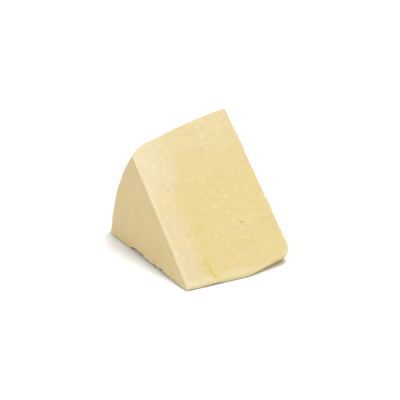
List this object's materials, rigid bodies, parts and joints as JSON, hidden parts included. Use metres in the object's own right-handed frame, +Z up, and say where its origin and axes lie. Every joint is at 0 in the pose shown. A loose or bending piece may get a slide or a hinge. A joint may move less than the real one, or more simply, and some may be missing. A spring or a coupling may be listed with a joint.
{
  "type": "pecorino chunk",
  "caption": "Wedge-shaped chunk of hard pale sheep's milk cheese, knife-cut from the end of a large wheel, lying on one cut face with the flat natural rind on one end.",
  "frame": {"origin": "middle of the box round the chunk, at the height of the surface it lies on", "axes": "+X along the wheel's axis, from the flat rind to the crosswise cut; +Y from the apex edge, where the two long cuts meet, towards the wheel's side; +Z up"},
  "size_m": [0.075, 0.1228, 0.0726],
  "materials": {
    "paste": "pale straw-yellow hard cheese paste with fine curd grain and a tan, dry natural rind; soft waxy sheen"
  },
  "bodies": {
    "root": {"cheese": "paste"}
  },
  "joints": []
}
